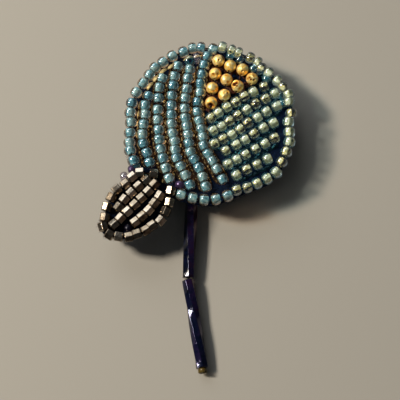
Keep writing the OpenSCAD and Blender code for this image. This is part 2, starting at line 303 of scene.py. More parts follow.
# Filler beads: length, lining's end and two radii, and the tone of the kind that is near black
FILLER_L, FILLER_LINING, NIGHT_TONE = 1.25, (0.5, 0.36, 0.44), -0.2
# Finishes of each kind of filler bead. Columns: glass, lining, lining's ends (painted shade on the teal
# kind)
FILLER_FINISHES = {
    "teal": (0, 1, 2), "blue": (3, 4, 4), "clear": (5, None, None), "iris": (6, None, None),
    "night": (6, None, None),
}
# Threads: length of one turn of the two plies, sides of the section, and widths in a strand and elsewhere
THREAD_TURN, THREAD_SIDES, STRING_D, THREAD_D = 0.7, 8, 0.3, 0.26
# Stitches: steps along one, its roll in radians, its thickness, and depth of the thread bed under the beads
STITCH_STEPS, STITCH_ROLL, COUCH_T, BED_DROP = 12, 0.25, 0.12, 0.9

# Point that the camera looks at, from the round's middle, and width of the camera's sensor
AIM, SENSOR_W = (-1.65, -13.285), 36
FLOOR_SIDE = 4
# Lamps, in metres: a small key, a broad pale window and a weak warm light from the room at the lower right.
# Columns: name, place, size, share of the key lamp's power, colour
LAMPS = [
    ("key", (-0.43, 0.10, 0.40), (0.1, 0.1), 1, "#FFF4E4"),
    ("window", (-0.29, 0.50, 0.40), (0.5, 0.38), 0.32, "#EEF2F4"),
    ("hearth", (0.42, -0.36, 0.24), (0.5, 0.3), 0.008, "#FFC8A0"),
]


def linear(code):
    """Linear colour of an sRGB hex code, with alpha 1."""
    parts = [int(code[i:i + 2], 16) / 255 for i in (1, 3, 5)]
    return [c / 12.92 if c <= 0.04045 else ((c + 0.055) / 1.055) ** 2.4 for c in parts] + [1]


def add(tree, kind, inputs=None, **settings):
    """Adds a node, gives it its settings, and sets or links its inputs."""
    made = tree.nodes.new(kind)
    for name, value in settings.items():
        setattr(made, name, value)
    for key, value in (inputs or {}).items():
        if isinstance(value, bpy.types.NodeSocket):
            tree.links.new(value, made.inputs[key])
        else:
            made.inputs[key].default_value = value
    return made


def new_material(name):
    """An empty material and its node tree."""
    material = bpy.data.materials.new(name)
    material.use_nodes = True
    material.node_tree.nodes.clear()
    return material, material.node_tree


def principled(material, inputs):
    """Gives the material its surface, one principled shader."""
    tree = material.node_tree
    shader = add(tree, "ShaderNodeBsdfPrincipled", inputs)
    add(tree, "ShaderNodeOutputMaterial", {"Surface": shader.outputs[0]})
    return material


def own_tone(tree):
    """Tone that the mesh gives each of its points."""
    return add(tree, "ShaderNodeAttribute", attribute_name="tone").outputs["Fac"]


def combined(tree, operation, first, second):
    """Two values added or multiplied."""
    return add(tree, "ShaderNodeMath", {0: first, 1: second}, operation=operation).outputs[0]


def mottle(tree, size_mm, detail=2.0, roughness=0.5, stretch=None, turn=(0, 0, 0)):
    """Noise on the piece itself whose blotches are about size_mm wide. A stretch draws them out."""
    place = add(tree, "ShaderNodeTexCoord").outputs["Object"]
    if stretch:
        place = add(tree, "ShaderNodeMapping", {
            "Vector": place, "Scale": stretch, "Rotation": turn,
        }).outputs[0]
    return add(tree, "ShaderNodeTexNoise", {
        "Vector": place, "Scale": 1 / (size_mm * MM), "Detail": detail, "Roughness": roughness,
    }).outputs["Fac"]


def spread(tree, value, low, high):
    """Spreads a value from 0 to 1 between low and high."""
    return add(tree, "ShaderNodeMapRange", {"Value": value, "To Min": low, "To Max": high}).outputs[0]


def ramp(tree, value, stops):
    """Colour ramp from (position, hex) stops."""
    made = add(tree, "ShaderNodeValToRGB", {"Fac": value})
    points = made.color_ramp.elements
    while len(points) < len(stops):
        points.new(0.5)
    for point, (position, code) in zip(points, stops):
        point.position = position
        point.color = linear(code)
    return made.outputs["Color"]


def bump(tree, height, depth_mm, strength=1.0, under=None):
    """Bump whose relief is depth_mm deep, over another bump where one is given."""
    inputs = {"Height": height, "Distance": depth_mm * MM, "Strength": strength}
    if under:
        inputs["Normal"] = under
    return add(tree, "ShaderNodeBump", inputs).outputs["Normal"]


def bead_glass(name, depth, density, haze, haze_share, film_nm):
    """Drawn glass with fire-polished ends and a lustre coat: glossy, so the lining shows magnified.

    The lustre is a film of metal oxide that mirrors the lamps more than bare glass does. The glass's
    colour deepens with the way through it, and a little haze in it shows the same colour at the bead's
    sides. Lamps shine through it on to the lining, which keeps the lining's colour pure.
    """
    material, tree = new_material(name)
    glass = add(tree, "ShaderNodeBsdfPrincipled", {
        "Base Color": linear("#FFFFFF"), "Roughness": 0.08, "IOR": 1.52, "Transmission Weight": 1.0,
        "Thin Film Thickness": film_nm, "Thin Film IOR": 2.3,
        "Normal": bump(tree, mottle(tree, 0.5, 2), 0.012),
    })
    cloud = combined(tree, "ADD", mottle(tree, 0.5, 3), own_tone(tree))
    body = add(tree, "ShaderNodeBsdfDiffuse", {"Color": ramp(tree, cloud, haze)})
    hazy = add(tree, "ShaderNodeMixShader", {0: haze_share, 1: glass.outputs[0], 2: body.outputs[0]})
    shadow = add(tree, "ShaderNodeLightPath").outputs["Is Shadow Ray"]
    clear = add(tree, "ShaderNodeBsdfTransparent")
    mixed = add(tree, "ShaderNodeMixShader", {0: shadow, 1: hazy.outputs[0], 2: clear.outputs[0]})
    deep = add(tree, "ShaderNodeVolumeAbsorption", {"Color": linear(depth), "Density": density})
    add(tree, "ShaderNodeOutputMaterial", {"Surface": mixed.outputs[0], "Volume": deep.outputs[0]})
    return material


def lining_paint(name, dark, middle, light):
    """Baked enamel in the hole of a bead: pale where it is thick, and dark in the thinner places.

    It lies against the glass, so it has no gloss of its own, and the bead shows one small highlight.
    """
    material, tree = new_material(name)
    tone = combined(tree, "MULTIPLY", own_tone(tree), 0.16)
    value = combined(tree, "ADD", tone, mottle(tree, 0.42, 4))
    return principled(material, {
        "Base Color": ramp(tree, value, [(0.42, dark), (0.55, middle), (0.72, light)]),
        "Roughness": 0.8, "Specular IOR Level": 0.0, "Normal": bump(tree, mottle(tree, 0.25, 2), 0.03),
    })


def lining_metal(name, dark, middle, light, metallic, roughness):
    """Gilding in the hole of a bead: crinkled foil that mirrors the lamps in pale flecks.

    Brown specks are worn places, where the glass shows through.
    """
    material, tree = new_material(name)
    tone = combined(tree, "MULTIPLY", own_tone(tree), 0.24)
    value = combined(tree, "ADD", tone, mottle(tree, 0.5, 4, 0.6))
    return principled(material, {
        "Base Color": ramp(tree, value, [(0.4, dark), (0.48, middle), (0.66, light)]),
        "Metallic": metallic, "Roughness": roughness,
        "Normal": bump(tree, mottle(tree, 0.36, 3, 0.6), 0.26),
    })


def coated_glass(name, stops, metallic, roughness):
    """Glass with a fired metal coat: each facet mirrors in a tone of its own, with faint streaks; on the
    leaf, tones hold painted shade.
    """
    material, tree = new_material(name)
    streaks = combined(tree, "MULTIPLY", mottle(tree, 0.9, 2), 0.6)
    value = combined(tree, "ADD", own_tone(tree), streaks)
    return principled(material, {
        "Base Color": ramp(tree, value, stops), "Metallic": metallic, "Roughness": roughness,
        "Normal": bump(tree, mottle(tree, 0.4, 3), 0.015),
    })


def satin_gold(name):
    """Gilded brass bead, tumbled to a satin: broad pale highlight, painted red-brown shade at the rim and
    painted shade in the pits.
    """
    material, tree = new_material(name)
    scratch = mottle(tree, 0.6, 3.0, 0.6, (1, 6, 2), (0.4, 0.9, 0.2))
    # Painted shade in the pits: the tone left after the dents darkens the gilding there, over a random
    # mottle.
    worn = combined(tree, "MULTIPLY", mottle(tree, 0.6, 3), own_tone(tree))
    gilding = ramp(tree, worn, [
        (0.06, "#1C0A06"), (0.2, "#6A300E"), (0.28, "#FFB448"), (0.43, "#FFDA76"), (0.62, "#FFEEB0"),
    ])
    # Painted shade: the rim, where the bead turns from view, is darkened to red-brown.
    rim = add(tree, "ShaderNodeLayerWeight", {"Blend": 0.42}).outputs["Facing"]
    rim_shade = ramp(tree, rim, [(0.52, "#FFFFFF"), (0.73, "#DC8434"), (0.9, "#3C0C02")])
    colour = add(tree, "ShaderNodeMix", {0: 1.0, 6: gilding, 7: rim_shade}, data_type="RGBA",
                 blend_type="MULTIPLY").outputs[2]
    return principled(material, {
        "Base Color": colour, "Metallic": 0.5, "Roughness": spread(tree, scratch, 0.26, 0.42),
        "Normal": bump(tree, scratch, 0.04, 0.6, bump(tree, mottle(tree, 0.6, 2), 0.17)),
    })


def felt_cloth(name, dark, light):
    """Pressed wool felt: matt and fuzzy, with matted fibres 0.1 mm wide drawn at 0.3 mm to show."""
    material, tree = new_material(name)
    fibres = mottle(tree, 0.3, 6, 0.7)
    return principled(material, {
        "Base Color": ramp(tree, fibres, [(0.35, dark), (0.7, light)]), "Roughness": 0.95,
        "Specular IOR Level": 0.1, "Normal": bump(tree, fibres, 0.15, 0.8),
    })


def twisted_thread(name, dark, light, metallic, roughness, gloss=0.5):
    """Two-ply thread: narrow turns of lighter and darker ply."""
    material, tree = new_material(name)
    ply = mottle(tree, 0.18, 3)
    return principled(material, {
        "Base Color": ramp(tree, ply, [(0.35, dark), (0.65, light)]), "Metallic": metallic,
        "Roughness": roughness, "Specular IOR Level": gloss, "Normal": bump(tree, ply, 0.05),
    })


def plated_steel(name):
    """Nickel-plated steel, stamped and tumbled: pale grey, with a faint grain along the bar."""
    material, tree = new_material(name)
    grain = mottle(tree, 0.25, 4.0, stretch=(0.15, 1, 1))
    return principled(material, {
        "Base Color": ramp(tree, mottle(tree, 3), [(0.3, "#A9A8A4"), (0.7, "#C9C8C4")]),
        "Metallic": 1.0, "Roughness": spread(tree, grain, 0.2, 0.42),
        "Normal": bump(tree, grain, 0.01),
    })


def matt_paper(name):
    """Pale matt paper: too rough to mirror, so the floor shows only the brooch's shadow."""
    return principled(new_material(name)[0], {"Base Color": linear("#A8A59D"), "Roughness": 0.9})


class Pile:
    """Shapes that are joined into one mesh, each with a finish and a tone of its own."""

    def __init__(self):
        self.points, self.faces, self.finishes, self.tones = [], [], [], []
        self.count = 0

    def put(self, points, faces, finish=0, tone=0.5):
        """Adds one shape. The finish is one number, or a list of one for each face."""
        self.points.append(np.asarray(points, float))
        self.faces += [tuple(self.count + i for i in face) for face in faces]
        self.finishes += [finish] * len(faces) if isinstance(finish, int) else finish
        self.tones.append(np.broadcast_to(tone, len(points)))
        self.count += len(points)

    def piece(self, name, materials, sharp=None):
        """Makes the object, in metres in the row frame. Edges over sharp degrees stay sharp."""
        points = (np.concatenate(self.points) + [ROUND_X, ROUND_Y, 0]) * MM
        mesh = bpy.data.meshes.new(name)
        mesh.from_pydata(points.tolist(), [], self.faces)
        for material in materials:
            mesh.materials.append(material)
        mesh.polygons.foreach_set("material_index", self.finishes)
        mesh.polygons.foreach_set("use_smooth", [True] * len(self.faces))
        tone = mesh.attributes.new("tone", "FLOAT", "POINT")
        tone.data.foreach_set("value", np.concatenate(self.tones))
        if sharp:
            mesh.set_sharp_from_angle(angle=math.radians(sharp))
        mesh.validate()
        return placed(name, mesh)


def placed(name, data):
    """An object in the scene with this mesh, lamp or camera."""
    made = bpy.data.objects.new(name, data)
    bpy.context.scene.collection.objects.link(made)
    return made


def mounted(made, slot, *nodes):
    """Puts a piece on the brooch, in the place of the nodes that it stands for."""
    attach(made, "root")
    if nodes:
        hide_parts(*nodes)


def ring_faces(rings, sides, closed):
    """Quads between rings of points. A closed run also joins its last ring to its first."""
    faces = []
    for i in range(rings if closed else rings - 1):
        a, b = i * sides, (i + 1) % rings * sides
        for k in range(sides):
            n = (k + 1) % sides
            faces.append((a + k, a + n, b + n, b + k))
    return faces


def tube_faces(rings, sides):
    """Faces of a run of rings that is closed at both ends."""
    last = (rings - 1) * sides
    ends = [tuple(range(sides - 1, -1, -1)), tuple(range(last, last + sides))]
    return ring_faces(rings, sides, False) + ends


def turned(profile, sides, square=0.0):
    """Ring-shaped solid round the x axis. Columns of the profile: distance along x, radius.

    With a power in square, the ring is pressed to a rounded square of the same width.
    """
    turn = np.arange(sides) * 2 * math.pi / sides
    swell = [
        (abs(math.cos(t)) ** square + abs(math.sin(t)) ** square) ** (-1 / square) if square else 1
        for t in turn
    ]
    points = [
        (x, r * s * math.cos(t), r * s * math.sin(t)) for x, r in profile for t, s in zip(turn, swell)
    ]
    return np.array(points), ring_faces(len(profile), sides, True)


def glass_ring(length, outer_d, hole_d, squareness=SEED_SQUARENESS):
    """Drilled glass bead with round shoulders and a straight hole."""
    outer, hole = outer_d / 2, hole_d / 2
    profile = []
    for k in range(GLASS_STEPS + 1):
        angle = math.pi * k / GLASS_STEPS
        x, y = -math.cos(angle), math.sin(angle)
        profile.append((
            length / 2 * math.copysign(abs(x) ** squareness, x),
            hole + (outer - hole) * abs(y) ** squareness,
        ))
    return turned(profile + [(length / 4, hole), (-length / 4, hole)], GLASS_SIDES)


def plain_lining(end, inner, outer):
    """Straight lining of a bead's hole, from -end to end."""
    return turned([(-end, inner), (-end, outer), (end, outer), (end, inner)], LINING_SIDES)


def pose(points, centre, way, roll=0.0):
    """Turns a shape's x axis along way, rolls it, and moves it to centre."""
    way = np.array(way, float) / np.linalg.norm(way)
    level = np.cross((0, 0, 1), way)
    if np.linalg.norm(level) < 0.05:
        level = np.array((0.0, 1.0, 0.0))
    level /= np.linalg.norm(level)
    up = np.cross(way, level)
    side = level * math.cos(roll) + up * math.sin(roll)
    top = np.cross(way, side)
    return points @ np.array([way, side, top]) + np.array(centre)


def headings(route):
    """Direction of travel at each point of a route."""
    route = np.array(route, float)
    way = np.vstack([route[1:], route[-1:]]) - np.vstack([route[:1], route[:-1]])
    return way / np.linalg.norm(way, axis=1)[:, None]


def filled_in(route, marks, at):
    """Points of a route at other marks than its own."""
    return np.stack([np.interp(at, marks, route[:, k]) for k in range(3)], axis=1)


def oval(half_width, half_height, sides=THREAD_SIDES):
    """Section of a thread, across the x axis."""
    angles = np.arange(sides) * 2 * math.pi / sides
    return np.stack([
        np.zeros(sides), half_width * np.cos(angles), half_height * np.sin(angles),
    ], axis=1)


def spun_thread(pile, route, width, finish=0):
    """Two-ply thread along a route: its section is an oval that turns as it goes."""
    route = np.array(route, float)
    marks = np.concatenate([[0], np.cumsum(np.linalg.norm(np.diff(route, axis=0), axis=1))])
    at = np.linspace(0, marks[-1], max(2, int(marks[-1] / (THREAD_TURN / 6))) + 1)
    fine = filled_in(route, marks, at)
    section = oval(width * 0.5, width * 0.3)
    points = [
        pose(section, centre, way, 2 * math.pi * s / THREAD_TURN)
        for centre, way, s in zip(fine, headings(fine), at)
    ]
    pile.put(np.concatenate(points), tube_faces(len(fine), THREAD_SIDES), finish)


def flat_stitch(pile, route, width, thick, finish=0):
    """Short flat stitch that narrows towards both ends."""
    shares = np.linspace(0, 1, STITCH_STEPS + 1)
    fine = filled_in(np.array(route, float), np.linspace(0, 1, len(route)), shares)
    points = []
    for centre, way, share in zip(fine, headings(fine), shares):
        slim = 0.25 + 0.75 * math.sin(math.pi * share) ** 0.6
        points.append(pose(oval(width / 2 * slim, thick / 2 * slim), centre, way, STITCH_ROLL))
    pile.put(np.concatenate(points), tube_faces(len(fine), THREAD_SIDES), finish)


def smooth(a, b, c, d, u):
    """Smooth curve through four values, at u between the second and the third."""
    return b + u / 2 * (c - a + u * (2 * a - 5 * b + 4 * c - d + u * (3 * (b - c) + d - a)))


def rim_point(angle, out):
    """Point over the edge of the round, out mm outside the rim beads' middles."""
    i = math.floor(angle / RIM_STEP)
    near = [RIM_RADIUS[(i + k) % len(RIM_RADIUS)] for k in (-1, 0, 1, 2)]
    radius = smooth(*near, angle / RIM_STEP - i) + out
    return (radius * math.cos(math.radians(angle)), radius * math.sin(math.radians(angle)), SEED_Z)


def row_point(s, across):
    """Point on a slanting row."""
    c, d = math.cos(math.radians(ROW_TURN)), math.sin(math.radians(ROW_TURN))
    return (s * c - across * d, s * d + across * c, SEED_Z)


def leaf_point(x, y, z=LEAF_BEAD_Z):
    """Point of the leaf's own frame, on the brooch."""
    droop, turn = math.radians(LEAF_DROOP), math.radians(LEAF_TURN)
    along = x * math.cos(droop) + z * math.sin(droop)
    up = z * math.cos(droop) - x * math.sin(droop)
    return (
        LEAF_ROOT[0] + along * math.cos(turn) - y * math.sin(turn),
        LEAF_ROOT[1] + along * math.sin(turn) + y * math.cos(turn),
        FELT_TOP + LEAF_LIFT + up,
    )


class BroochBeads(bpy.types.PropertyGroup):
    """Sizes of the glass beads."""
    length: bpy.props.FloatProperty(
        name="Seed length", description="Length of a seed bead along its hole, in millimetres",
        default=1.56, min=1.2, max=1.65)
    diameter: bpy.props.FloatProperty(
        name="Seed width", description="Diameter of a seed bead, in millimetres",
        default=2.08, min=1.9, max=2.1)
    teal_lining: bpy.props.FloatProperty(
        name="Teal lining", description="Outer diameter of the teal lining, in millimetres",
        default=0.9, min=0.7, max=1.1)
    gold_lining: bpy.props.FloatProperty(
        name="Gold lining", description="Width of the square gold lining, in millimetres",
        default=0.84, min=0.7, max=1.1)
    teal_inset: bpy.props.FloatProperty(
        name="Teal inset", description="Clear glass past the teal lining at each end, in millimetres",
        default=0.1, min=0.05, max=0.3)
    gold_inset: bpy.props.FloatProperty(
        name="Gold inset", description="Clear glass past the gold lining at each end, in millimetres",
        default=0.16, min=0.05, max=0.3)
    hex_length: bpy.props.FloatProperty(
        name="Hex-cut length", description="Length of a hex-cut bead, in millimetres",
        default=1.5, min=1.2, max=1.6)
    hex_width: bpy.props.FloatProperty(
        name="Hex-cut width", description="Width of a hex-cut bead over its corners, in millimetres",
        default=1.84, min=1.5, max=1.9)
    seed: bpy.props.IntProperty(
        name="Chance", description="Starting number of the small differences between beads",
        default=7, min=0)


class BroochColours(bpy.types.PropertyGroup):
    """Colours of the glass and felt, as sRGB hex codes."""
    teal_glass: bpy.props.StringProperty(
        name="Topaz glass", description="Glass of the teal-lined beads", default="#E8B868")
    gold_glass: bpy.props.StringProperty(
        name="Aqua glass", description="Glass of the gold-lined beads", default="#3FA9C4")
    felt: bpy.props.StringProperty(
        name="Felt", description="Darkest colour of the felt", default="#03050C")


class BroochStage(bpy.types.PropertyGroup):
    """Camera, lamps and floor."""
    elevation: bpy.props.FloatProperty(
        name="Camera height", description="Angle of the camera above the floor",
        default=math.radians(72.4), subtype="ANGLE")
    distance: bpy.props.FloatProperty(
        name="Camera distance", description="Distance from the camera to the brooch",
        default=0.367, subtype="DISTANCE", unit="LENGTH")
    width: bpy.props.FloatProperty(
        name="View width", description="Width of what the camera sees at the beads",
        default=0.066, subtype="DISTANCE", unit="LENGTH")
    key: bpy.props.FloatProperty(
        name="Key lamp", description="Power of the main lamp in watts", default=4.4, min=0)
    sky: bpy.props.FloatProperty(
        name="Surroundings", description="Brightness of the studio around", default=0.08, min=0)


def settings():
    """The panel's bead sizes and colours."""
    return bpy.context.scene.brooch_beads, bpy.context.scene.brooch_colours


def kept(name, make, *values):
    """A material by its name, made once."""
    return bpy.data.materials.get(name) or make(name, *values)


def brown_nylon():
    return kept("Brown nylon thread", twisted_thread, "#120C06", "#2A1C10", 0.0, 0.7, 0.1)


def gilt_lurex_glints():
    return kept("Gilt lurex thread", twisted_thread, "#7C6C40", "#C4B480", 0.3, 0.42)


def teal_finishes():
    """Finishes of a teal-lined strand, by their FINISH numbers, and two more couching threads."""
    return [
        kept("Topaz glass, lustre coat", bead_glass, settings()[1].teal_glass, 360.0, [
            (0.5, "#3A2A10"), (0.9, "#6E5A2C"), (1.3, "#9A8A58"),
        ], 0.08, 42.0),
        kept("Teal enamel lining", lining_paint, "#246080", "#4C8EAC", "#82AEC0"),
        # Dark ends of the teal lining: painted shade where the beads meet
        kept("Pooled teal enamel", lining_paint, "#062430", "#0E3A48", "#1A5460"),
        brown_nylon(),
        gilt_lurex_glints(),
        kept("Copper lurex thread", twisted_thread, "#2A1C0C", "#A88848", 0.5, 0.33),
    ]


def gold_finishes():
    """Finishes of a gold-lined strand, in the same order."""
    return [
        kept("Aqua glass, lustre coat", bead_glass, settings()[1].gold_glass, 360.0, [
            (0.5, "#0A2C48"), (0.9, "#145C6C"), (1.3, "#48949C"),
        ], 0.1, 60.0),
        kept("Gilded lining", lining_metal, "#2C1E0A", "#F6E28A", "#FFFCD2", 0.58, 0.24),
        # Dark ends of the gilding: painted shade where the beads meet
        kept("Burnt gilding", lining_metal, "#140E04", "#2E220C", "#5A4620", 0.5, 0.5),
        kept("Navy nylon thread", twisted_thread, "#060E18", "#0C2A34", 0.0, 0.7, 0.1),
        kept("Peacock lurex thread", twisted_thread, "#0A3450", "#4AA4B4", 0.3, 0.35),
        kept("Navy lurex thread", twisted_thread, "#06182C", "#1C5468", 0.3, 0.4),
    ]


def string_seeds(pile, centres, gilded, rng):
    """Seed beads on a thread: each is a glass ring round its lining, a little out of line.

    A gilded lining has a rounded square section, rolled so that a flat faces up and to the left; its far
    side has painted shade.
    """
    sizes = settings()[0]
    lining_d = sizes.gold_lining if gilded else sizes.teal_lining
    inset = sizes.gold_inset if gilded else sizes.teal_inset
    hole = lining_d - 2 * LINING_SKIN
    centres = np.array(centres, float)
    ways = headings(centres)
    for i, (centre, way) in enumerate(zip(centres, ways)):
        near = min(
            np.linalg.norm(centres[i] - centres[j]) for j in (i - 1, i + 1) if 0 <= j < len(centres)
        )
        length = min(sizes.length + rng.uniform(-0.07, 0.07), near - 0.05)
        across = sizes.diameter + rng.uniform(-0.07, 0.0)
        lean = way + [rng.uniform(-0.09, 0.09) * share for share in SEED_TILT]
        middle = centre + [rng.uniform(*reach) for reach in SEED_SHIFT]
        tone = rng.random()
        hand = 1 if np.cross((0, 0, 1), way) @ SQUARE_FACES > 0 else -1
        roll = -hand * math.radians(rng.uniform(16, 42))
        glass, faces = glass_ring(length, across, hole)
        pile.put(pose(glass, middle, lean), faces, FINISH_GLASS, tone)
        inner, outer, end = hole / 2 - LINING_SKIN, lining_d / 2, length / 2 - inset
        lining, faces = turned([
            (-end, inner), (-end, outer - 0.05), (LINING_EDGE - end, outer), (end - LINING_EDGE, outer),
            (end, outer - 0.05), (end, inner),
        ], LINING_SIDES, SQUARE if gilded else 0)
        # Painted shade: the gilding's side turned from the lamps gets a lower tone.
        if gilded:
            tone = np.where(lining[:, 1] * hand < GILDING_SHADE_FROM, tone - GILDING_SHADE_DROP, tone)
        pile.put(pose(lining, middle, lean, roll), faces, LINING_FINISHES, tone)
    first, last = centres[0] - ways[0] * 0.7, centres[-1] + ways[-1] * 0.7
    spun_thread(pile, [first, *centres, last], STRING_D, FINISH_THREAD)


def couch(pile, centres, rng):
    """Stitches that hold a strand down: short ends show beside the beads, as painted glints, on a bed of
    plain thread.
    """
    centres = np.array(centres, float)
    for start, end in zip(centres, centres[1:]):
        way = (end - start) / np.linalg.norm(end - start)
        side = np.cross((0, 0, 1), way)
        for hand in (-1, 1):
            bed = (start + end) / 2 + side * hand * rng.uniform(0.95, 1.05) - (0, 0, BED_DROP)
            flat_stitch(pile, [bed - way, bed, bed + way], rng.uniform(0.5, 0.7), COUCH_T, FINISH_THREAD)
            # The lurex ends stand in for glints in the glass beside the beads: painted highlights.
            for _ in range(rng.choice((2, 3, 3, 4))):
                middle = start + (end - start) * rng.uniform(0, 1)
                slide, reach = rng.uniform(-0.3, 0.3), rng.uniform(0.9, 1.1)
                rise = -rng.uniform(0.0, 0.65)
                route = [
                    middle + side * hand * reach + way * slide * s + np.array((0, 0, rise - 0.3 * abs(s)))
                    for s in (-1, -0.3, 0.4, 1)
                ]
                flat_stitch(pile, route, rng.uniform(0.12, 0.24), COUCH_T, rng.choice(GLINT_COUCHING))


def sew(name, centres, gilded, couched):
    """Strings one strand of seed beads, and couches it where its stitches show."""
    rng = random.Random(f"{name} {settings()[0].seed}")
    pile = Pile()
    string_seeds(pile, centres, gilded, rng)
    if couched:
        couch(pile, centres, rng)
    finishes = gold_finishes() if gilded else teal_finishes()
    slot = "gold_lined_glass" if gilded else "teal_lined_glass"
    mounted(pile.piece(f"{name}_beads", finishes, sharp=50), slot, name)


class BROOCH_OT_rim(bpy.types.Operator):
    """Strings the seed beads of the rim in their three colour runs"""
    bl_idname = "brooch.rim"
    bl_label = "Rim beads"

    def execute(self, context):
        for name, chart in RIM_RUNS.items():
            sew(name, [rim_point(angle, out) for angle, out in chart], name == "rim_right", False)
        return {"FINISHED"}


class BROOCH_OT_strands(bpy.types.Operator):
    """Strings the bowed strands of teal-lined seed beads"""
    bl_idname = "brooch.strands"
    bl_label = "Bowed strands"

    def execute(self, context):
        for name, chart in STRANDS.items():
            sew(name, [(x, y, SEED_Z) for x, y in chart], False, True)
        return {"FINISHED"}


class BROOCH_OT_rows(bpy.types.Operator):
    """Strings the slanting rows of gold-lined seed beads"""
    bl_idname = "brooch.rows"
    bl_label = "Slanting rows"

    def execute(self, context):
        for name, chart in ROWS.items():
            sew(name, [row_point(*place) for place in chart], True, True)
        return {"FINISHED"}


def six_sided(width, worn):
    """Section of six-sided cane whose corners are worn round to a radius, as y and z across it."""
    corner = width / 2 - worn / math.cos(math.radians(30))
    section = []
    for k in range(6):
        out = math.radians(60 * k)
        for lean in CORNER_LEANS:
            a = out + math.radians(lean)
            section.append((
                corner * math.cos(out) + worn * math.cos(a), corner * math.sin(out) + worn * math.sin(a),
            ))
    return np.array(section)


def cane(rings, section, hole_d):
    """Six-sided bead with a round hole. Columns of the rings: distance along x, scale, turn in radians."""
    points = []
    around = np.arctan2(section[:, 1], section[:, 0])
    bore = np.stack([np.cos(around), np.sin(around)], axis=1) * hole_d / 2
    ends = [(rings[-1][0], bore, rings[-1][2]), (rings[0][0], bore, rings[0][2])]
    for x, loop, turn in [(x, section * scale, turn) for x, scale, turn in rings] + ends:
        c, s = math.cos(turn), math.sin(turn)
        points += [(x, y * c - z * s, y * s + z * c) for y, z in loop]
    return np.array(points), ring_faces(len(rings) + 2, len(section), True)


def hex_bead(length, width):
    """Bead cut from six-sided cane: flat faces, worn corners and a round hole."""
    rings = [(share * length, scale, 0) for share, scale in HEX_ENDS]
    return cane(rings, six_sided(width, HEX_WEAR), HEX_HOLE_D)


def bugle(twist, edge, worn):
    """Long bead drawn from six-sided cane and twisted while hot, with slightly worn edges."""
    start = BUGLE_ENDS[-1][0]
    places = BUGLE_ENDS + [
        (start + (BUGLE_L - 2 * start) * k / BUGLE_STEPS, 1) for k in range(1, BUGLE_STEPS)
    ]
    places += [(BUGLE_L - x, s) for x, s in reversed(BUGLE_ENDS)]
    rings = [(x, scale, math.radians(edge - 90 - twist * x / BUGLE_L)) for x, scale in places]
    return cane(rings, six_sided(BUGLE_D, worn), BUGLE_HOLE_D)


def facet_tones(values, points):
    """Tone of each point of a six-sided bead from one value a facet: a facet takes half of its corners."""
    tones = [values[(k - (lean < 0)) % 6] for k in range(6) for lean in CORNER_LEANS]
    return tones * (len(points) // len(tones))


def string_hexes(pile, chart, rng):
    """Hex-cut beads on a thread, each rolled as charted so that its facets catch the light apart, with
    painted shade on all but the facet facing the lamps.
    """
    sizes = settings()[0]
    facets = np.radians(np.arange(30, 390, 60))
    facets = np.stack([0 * facets, np.cos(facets), np.sin(facets)], axis=1)
    centres = np.array([leaf_point(x, y) for x, y, _ in chart])
    for centre, way, (_, _, roll) in zip(centres, headings(centres), chart):
        lean = way + [rng.uniform(-0.07, 0.07) for _ in range(3)]
        turn = math.radians(roll + rng.uniform(-4, 4))
        bead, faces = hex_bead(sizes.hex_length + rng.uniform(-0.08, 0), sizes.hex_width)
        bright = np.argmax(pose(facets, (0, 0, 0), lean, turn) @ LEAF_FACES)
        tone = 0.16 + rng.random() * 0.34
        # Painted shade: every facet but the one facing the lamps gets a lower tone.
        tones = facet_tones([tone - (k != bright) * LEAF_FACET_SHADE for k in range(6)], bead)
        pile.put(pose(bead, centre, lean, turn), faces, 0, tones)
    spun_thread(pile, centres, STRING_D, 1)


class BROOCH_OT_leaf(bpy.types.Operator):
    """Strings the leaf's hex-cut beads"""
    bl_idname = "brooch.leaf"
    bl_label = "Leaf beads"

    def execute(self, context):
        bronze = kept("Bronze coat on cut glass", coated_glass, [
            (0.25, "#3A2A1E"), (0.5, "#968774"), (0.8, "#CABDAC"),
        ], 1.0, 0.19)
        for name, chart in {"leaf_edge": LEAF_EDGE, **LEAF_ROWS}.items():
            rng = random.Random(f"{name} {settings()[0].seed}")
            pile = Pile()
            string_hexes(pile, chart, rng)
            made = pile.piece(f"{name}_beads", [bronze, brown_nylon()], sharp=5)
            mounted(made, "bronze_coated_glass", name)
        return {"FINISHED"}


class BROOCH_OT_stem(bpy.types.Operator):
    """Cuts the two twisted bugles and the bead that ends the stem"""
    bl_idname = "brooch.stem"
    bl_label = "Stem"

    def execute(self, context):
        iris = kept("Iris coat on black glass", coated_glass, [
            (0.25, "#05060E"), (0.42, "#0C1430"), (0.62, "#241A40"), (0.85, "#340A16"),
        ], 0.5, 0.07)
        top, bend, end = (np.array(p) for p in (STEM_TOP, STEM_BEND, STEM_END))
        way = (end - bend) / np.linalg.norm(end - bend)
        for name, start, ahead in (
            ("bugle_1", top, bend - top), ("bugle_2", bend + way * BUGLE_END_GAP, end - bend),
        ):
            pile = Pile()
            points, faces = bugle(*BUGLE_TWIST[name])
            pile.put(pose(points, start, ahead), faces, 0, facet_tones(BUGLE_FACETS[name], points))
            mounted(pile.piece(f"{name}_glass", [iris], sharp=25), "iris_glass", name)
        topaz = [
            kept("Olive topaz glass", bead_glass, "#7A6830", 1600.0, [(0.5, "#3A3016"), (1.0, "#64542A")],
                 0.6, 0.0),
            kept("Dark lining", lining_paint, "#1C180C", "#3A321A", "#5A4E2C"),
        ]
        pile = Pile()
        for finish, (points, faces) in enumerate((glass_ring(*STOP_BEAD), plain_lining(*STOP_LINING))):
            pile.put(pose(points, end, way), faces, finish)
        mounted(pile.piece("stop_bead_glass", topaz, sharp=50), "topaz_glass", "stop_bead")
        return {"FINISHED"}


